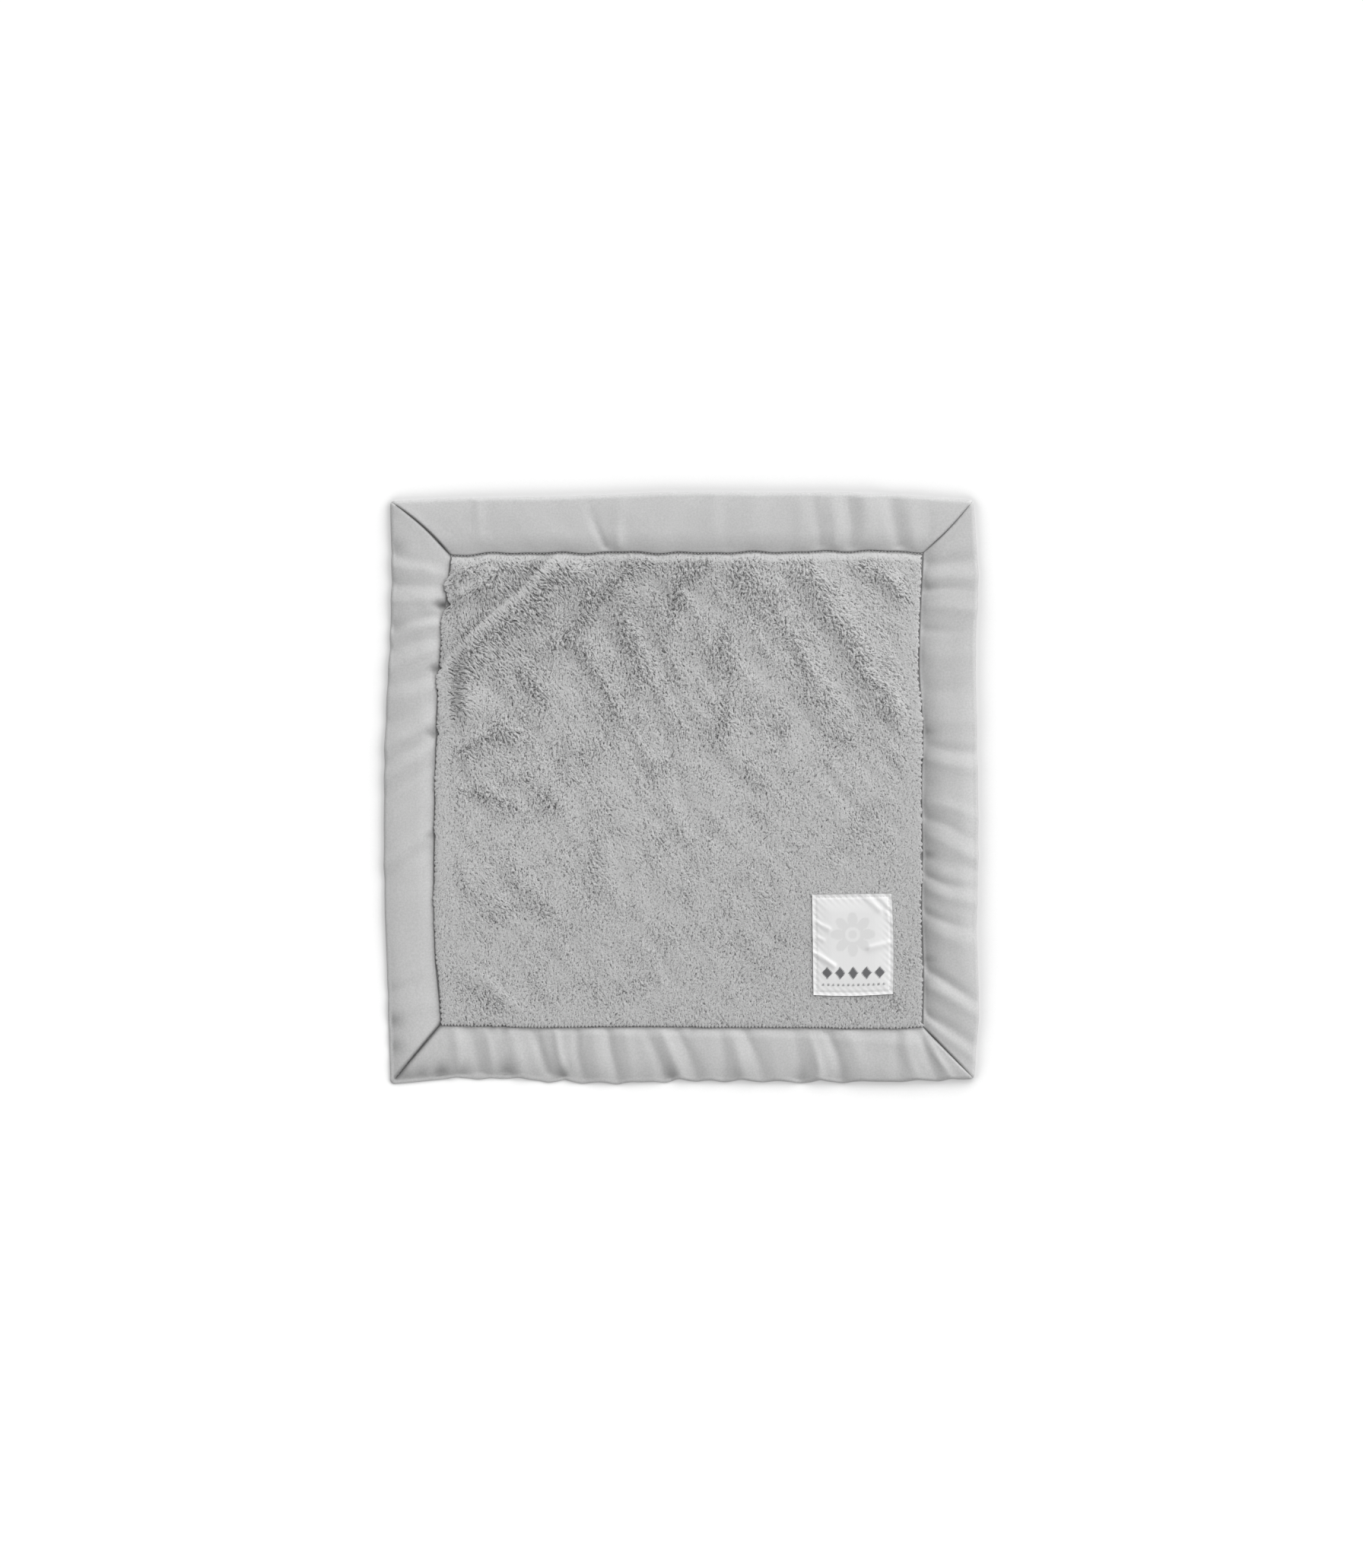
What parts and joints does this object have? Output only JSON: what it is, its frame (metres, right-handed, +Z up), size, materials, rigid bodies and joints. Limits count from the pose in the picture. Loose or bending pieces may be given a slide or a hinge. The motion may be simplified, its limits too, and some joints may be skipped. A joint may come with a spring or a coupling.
{
  "type": "comfort blanket",
  "caption": "Square plush comfort blanket with a folded satin border, mitred corners and a sewn satin label near one corner.",
  "frame": {"origin": "middle of the blanket's outline, on the surface that it lies on", "axes": "+Z up from the table, +Y towards the edge that is furthest from the label, +X towards the edge that the label is near"},
  "size_m": [0.3572, 0.3556, 0.0109],
  "materials": {
    "plush": "soft cut pile, mid grey",
    "satin": "matt satin, light grey",
    "label_satin": "glossy woven satin, white"
  },
  "bodies": {
    "root": {"front_plush_panel": "plush", "back_plush_panel": "plush", "border_bottom": "satin", "border_right": "satin", "border_top": "satin", "border_left": "satin", "label": "label_satin"}
  },
  "joints": []
}
